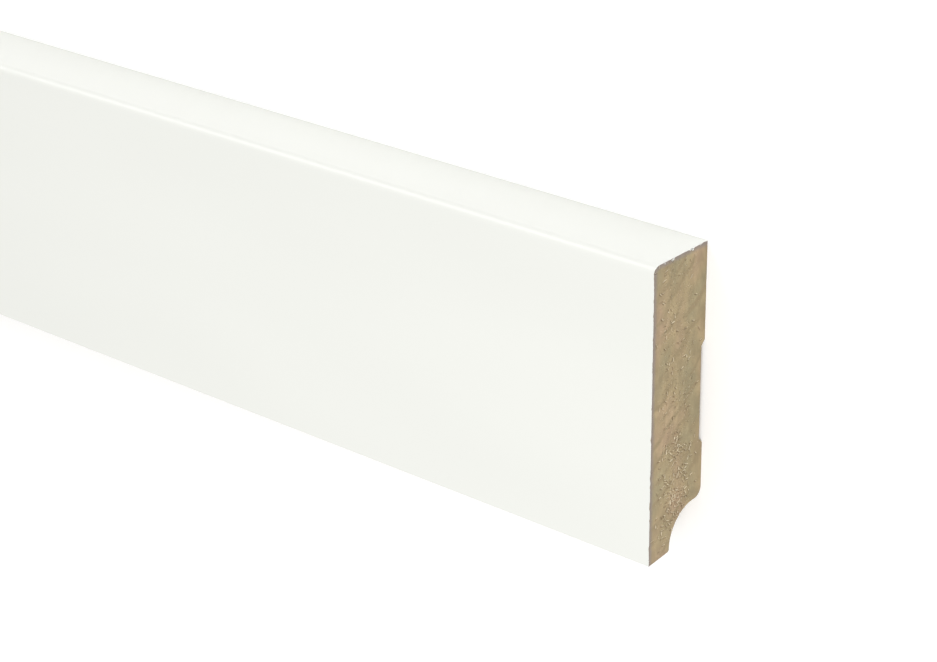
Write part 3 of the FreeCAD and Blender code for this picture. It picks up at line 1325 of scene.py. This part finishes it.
        line = add("ShaderNodeMapRange", {"Value": wave, "From Min": 0.3, "From Max": 1.0})
        # The sweep sinks the grooves here and also drives their painted shade in the finish.
        swept = add("ShaderNodeMath", {0: line, 1: strength}, operation="MULTIPLY")
        sized = add(
            "ShaderNodeVectorMath", {0: place, 1: given["Grain size"]}, operation="DIVIDE"
        )
        grain = add(
            "ShaderNodeTexNoise",
            {"Vector": sized, "Scale": 1.0, "W": given["Seed"], "Detail": 3.0, "Roughness": 0.6},
            noise_dimensions="4D",
        )
        # Nearness to a furrow sinks it here and also drives its painted shadow in the finish.
        near = add("GeometryNodeProximity", {0: furrows}, target_element="EDGES")
        torn = add(
            "ShaderNodeMapRange",
            {
                "Value": near.outputs["Distance"],
                "From Min": 0.02 * MM,
                "From Max": given["Furrow width"],
                "To Min": 1.0,
                "To Max": 0.0,
            },
        )
        geometry = given["Geometry"]
        for label, value in (("torn", torn), ("swept", swept)):
            geometry = add(
                "GeometryNodeStoreNamedAttribute",
                {"Geometry": geometry, "Name": label, "Value": value},
                data_type="FLOAT",
                domain="POINT",
            )
        sunk = given["Sunk"]
        low = add("ShaderNodeMath", {0: grain, 1: openness}, operation="MULTIPLY")
        torn = add(
            "GeometryNodeInputNamedAttribute", {"Name": "torn"}, data_type="FLOAT"
        )
        for share, depth in (
            (swept, given["Saw depth"]), (low, given["Grain depth"]), (torn, given["Furrow depth"])
        ):
            sunk = add("ShaderNodeMath", {0: share, 1: depth, 2: sunk}, operation="MULTIPLY_ADD")
        outward = add("ShaderNodeMath", {0: sunk, 1: given["Side"]}, operation="MULTIPLY")
        inward = add("ShaderNodeMath", {0: outward, 1: -1.0}, operation="MULTIPLY")
        offset = add("ShaderNodeCombineXYZ", {"X": inward})
        return add(
            "GeometryNodeSetPosition",
            {"Geometry": geometry, "Selection": on_cut, "Offset": offset},
        )

    def standing(
        self, nodes: GeometryTree, kind: TornFibres, points: bpy.types.NodeSocket
    ) -> bpy.types.Node:
        """Stands one kind of fibre on its points, kept inside the board's box.

        Args:
            nodes: the tree being built.
            kind: the fibres.
            points: where they stand.

        Returns:
            The fibres as real geometry, which stores how pale each of them is.
        """
        add, given = nodes.add, nodes.given
        fibre = add(
            "GeometryNodeMeshCone",
            {"Vertices": 4, "Side Segments": 3, "Fill Segments": 1, "Radius Top": 0.25,
             "Radius Bottom": 0.5, "Depth": 1.0},
        )
        centred = add(
            "GeometryNodeTransform", {"Geometry": fibre, "Translation": (0.0, 0.0, -0.12)}
        )
        random = []
        for step, low, high in ((3, 0.6, 1.4), (4, 0.5, 1.5), (5, 0.0, 1.0)):
            seed = add(
                "ShaderNodeMath", {0: given["Seed"], 1: float(kind.seed + step)}, operation="ADD"
            )
            random.append(
                add("FunctionNodeRandomValue", {2: low, 3: high, "Seed": seed}, data_type="FLOAT")
            )
        thick = add("ShaderNodeMath", {0: random[0], 1: kind.width}, operation="MULTIPLY")
        thin = add("ShaderNodeMath", {0: thick, 1: 0.6}, operation="MULTIPLY")
        long = add("ShaderNodeMath", {0: random[1], 1: kind.length}, operation="MULTIPLY")
        stood = add(
            "GeometryNodeInstanceOnPoints",
            {
                "Points": points,
                "Instance": centred,
                "Rotation": self.lean(nodes, kind, 0.06, 0.24),
                "Scale": add("ShaderNodeCombineXYZ", {"X": thick, "Y": thin, "Z": long}),
            },
        )
        # Each fibre's paleness: partly loose fibre's own colour, partly a painted highlight.
        pale = add("ShaderNodeMath", {0: random[2], 1: 0.6}, operation="POWER")
        pale = add("ShaderNodeMath", {0: pale, 1: kind.pale}, operation="MULTIPLY")
        marked = add(
            "GeometryNodeStoreNamedAttribute",
            {"Geometry": stood, "Name": "lifted", "Value": pale},
            data_type="FLOAT",
            domain="INSTANCE",
        )
        named = add(
            "GeometryNodeStoreNamedAttribute",
            {"Geometry": marked, "Name": kind.name, "Value": True},
            data_type="BOOLEAN",
            domain="INSTANCE",
        )
        real = add("GeometryNodeRealizeInstances", {"Geometry": named})
        wave = add(
            "ShaderNodeTexNoise",
            {"Vector": add("GeometryNodeInputPosition"), "Scale": 1 / (0.5 * MM), "Detail": 1.0},
        )
        level = add(
            "ShaderNodeVectorMath", {0: wave.outputs["Color"], 1: (0.5, 0.5, 0.5)},
            operation="SUBTRACT",
        )
        curl = add("ShaderNodeVectorMath", {0: level, "Scale": 0.35 * MM}, operation="SCALE")
        root = add("ShaderNodeMath", {0: given["Side"], 1: -kind.root}, operation="MULTIPLY")
        curl = add(
            "ShaderNodeVectorMath", {0: curl, 1: add("ShaderNodeCombineXYZ", {"X": root})},
            operation="ADD",
        )
        curled = add("GeometryNodeSetPosition", {"Geometry": real, "Offset": curl})
        held = add(
            "ShaderNodeVectorMath",
            {0: add("GeometryNodeInputPosition"), 1: given["Lowest corner"]},
            operation="MAXIMUM",
        )
        held = add("ShaderNodeVectorMath", {0: held, 1: given["Highest corner"]}, operation="MINIMUM")
        kept = add("GeometryNodeSetPosition", {"Geometry": curled, "Position": held})
        return add("GeometryNodeSetShadeSmooth", {"Geometry": kept, "Shade Smooth": False})


@dataclass(frozen=True)
class PhotoCamera:
    """The camera that sees the stored board as the photograph does."""

    place: Vector = Vector((1.458201, 0.218070, 0.369323))
    target: Vector = Vector((1.157162, 0.005484, 0.016))
    roll: float = math.radians(-0.638)
    lens_mm: float = 104.412
    sensor_mm: float = 36.0

    def build(self) -> bpy.types.Object:
        """Makes the camera and sets it as the scene's own.

        Returns:
            The camera object.
        """
        data = bpy.data.cameras.new("photo_camera")
        data.lens = self.lens_mm
        data.sensor_width = self.sensor_mm
        data.sensor_fit = "HORIZONTAL"
        data.clip_start = 0.01
        data.clip_end = 300.0
        forward = (self.target - self.place).normalized()
        # The photo shows the board as fitted, so the picture's upright is the board's +Y.
        level = forward.cross(Vector((0, 1, 0))).normalized()
        upright = level.cross(forward)
        right = math.cos(self.roll) * level + math.sin(self.roll) * upright
        up = right.cross(forward)
        camera = bpy.data.objects.new("photo_camera", data)
        turn = Matrix((right, up, -forward)).transposed().to_4x4()
        camera.matrix_world = Matrix.Translation(self.place) @ turn
        bpy.context.scene.collection.objects.link(camera)
        bpy.context.scene.camera = camera
        return camera


@dataclass(frozen=True)
class SoftSun:
    """An even wash of light over the whole board, as from a large far window."""

    name: str
    comes_from: Vector
    spread: float
    strength: float

    def build(self) -> bpy.types.Object:
        """Makes the light and turns it."""
        data = bpy.data.lights.new(self.name, "SUN")
        data.angle = self.spread
        data.energy = self.strength
        light = bpy.data.objects.new(self.name, data)
        light.matrix_world = self.comes_from.to_track_quat("Z", "Y").to_matrix().to_4x4()
        bpy.context.scene.collection.objects.link(light)
        return light


@dataclass(frozen=True)
class SoftBox:
    """A square soft box, unseen by the camera."""

    name: str
    place: Vector
    target: Vector
    side: float
    watts: float

    def build(self) -> bpy.types.Object:
        """Makes the light and turns it to its target."""
        data = bpy.data.lights.new(self.name, "AREA")
        data.shape = "SQUARE"
        data.size = self.side
        data.energy = self.watts
        light = bpy.data.objects.new(self.name, data)
        aim = (self.target - self.place).to_track_quat("-Z", "Y").to_matrix().to_4x4()
        light.matrix_world = Matrix.Translation(self.place) @ aim
        light.visible_camera = False
        bpy.context.scene.collection.objects.link(light)
        return light


@dataclass(frozen=True)
class Studio:
    """A plain pale floor under an even white surround, two washes of light and a soft box."""

    floor_radius: float = 80.0
    floor_gap: float = 0.01 * MM
    surround: float = 0.65
    lights: tuple[SoftSun | SoftBox, ...] = (
        SoftSun("key_wash", Vector((0.60, -0.05, 0.94)), math.radians(35), 0.78),
        SoftSun("edge_wash", Vector((-1.20, 1.38, 0.90)), math.radians(32), 0.75),
        SoftBox("end_box", Vector((1.55, -0.10, 0.55)), Vector((1.15, 0, 0.01)), 0.4, 1.08),
    )

    def build(self) -> None:
        """Makes the floor, the surround and the lights."""
        mesh = bpy.data.meshes.new("paper_floor")
        work = bmesh.new()
        bmesh.ops.create_circle(work, cap_ends=True, radius=self.floor_radius, segments=96)
        bmesh.ops.translate(work, verts=work.verts, vec=(0, 0, -self.floor_gap))
        work.to_mesh(mesh)
        work.free()
        floor = bpy.data.objects.new("paper_floor", mesh)
        mesh.materials.append(PalePaper().material())
        bpy.context.scene.collection.objects.link(floor)
        self.build_backdrop()
        world = bpy.data.worlds.new("white_surround")
        world.use_nodes = True
        world.node_tree.nodes.clear()
        white = add_node(
            world.node_tree,
            "ShaderNodeBackground",
            {"Color": (1, 1, 1, 1), "Strength": self.surround},
        )
        add_node(world.node_tree, "ShaderNodeOutputWorld", {"Surface": white})
        scene = bpy.context.scene
        scene.world = world
        scene.view_settings.view_transform = "Standard"
        for light in self.lights:
            light.build()

    def build_backdrop(self) -> None:
        """Makes the backdrop above the horizon, which is looked at but lights nothing."""
        mesh = bpy.data.meshes.new("paper_backdrop")
        work = bmesh.new()
        bmesh.ops.create_uvsphere(work, u_segments=48, v_segments=24, radius=self.floor_radius)
        work.to_mesh(mesh)
        work.free()
        backdrop = bpy.data.objects.new("paper_backdrop", mesh)
        mesh.materials.append(LitBackdrop().material())
        bpy.context.scene.collection.objects.link(backdrop)
        backdrop.visible_diffuse = False
        backdrop.visible_glossy = False
        backdrop.visible_shadow = False


@dataclass(frozen=True)
class SkirtingBoard:
    """The whole dressed board, fitted to the box of its solid."""

    lowest: Vector
    highest: Vector
    slice: float = 1.0 * MM

    def build(self) -> list[bpy.types.Object]:
        """Builds and dresses every piece of the board.

        Returns:
            The finished pieces.
        """
        half = self.highest.x
        section = BoardSection(self.highest.y - self.lowest.y, self.highest.z - self.lowest.z)
        wrap = SatinWrap().material()
        cut = SawnFibreboard().material()
        moulded = MouldedFibreboard().material()
        sanded = SandedSkin().material()
        outline = section.core_outline()
        core = MouldingRun(half - self.slice, 0.0, 1.0 * MM, 0.02 * MM).build(
            flat_section("moulded_core", outline, [tuple(range(len(outline)))]), moulded, sanded
        )
        self.declare(core)
        band = section.coat_band(0.35 * MM)
        pairs = [point for pair in band for point in pair]
        quads = [(2 * i, 2 * i + 2, 2 * i + 3, 2 * i + 1) for i in range(len(band) - 1)]
        coat = MouldingRun(half, 0.16 * MM, 0.9 * MM, -1.0).build(
            flat_section("white_coat", pairs, quads), wrap, wrap
        )
        self.declare(coat)
        ends = []
        for end in End:
            piece = SawnEnd(section, end, half).build(cut, moulded, wrap)
            self.declare(piece)
            ends.append(piece)
        return [core, coat, *ends]

    def declare(self, piece: bpy.types.Object) -> None:
        """Tells the frame what a piece rides on and hides the solid that it stands for.

        Args:
            piece: the finished piece.
        """
        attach(piece, BODY)
        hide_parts(NODE)
        triangles = sum(len(face.vertices) - 2 for face in piece.data.polygons)
        LOG.info("%s: %d triangles", piece.name, triangles)


def main() -> None:
    """Builds the camera, the studio and the board, in that order."""
    logging.basicConfig(level=logging.INFO, format="%(name)s: %(message)s")
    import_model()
    lowest, highest = (Vector(corner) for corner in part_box(NODE))
    PhotoCamera().build()
    Studio().build()
    pieces = SkirtingBoard(lowest, highest).build()
    LOG.info("%d pieces", len(pieces))


if __name__ == "__main__":
    main()
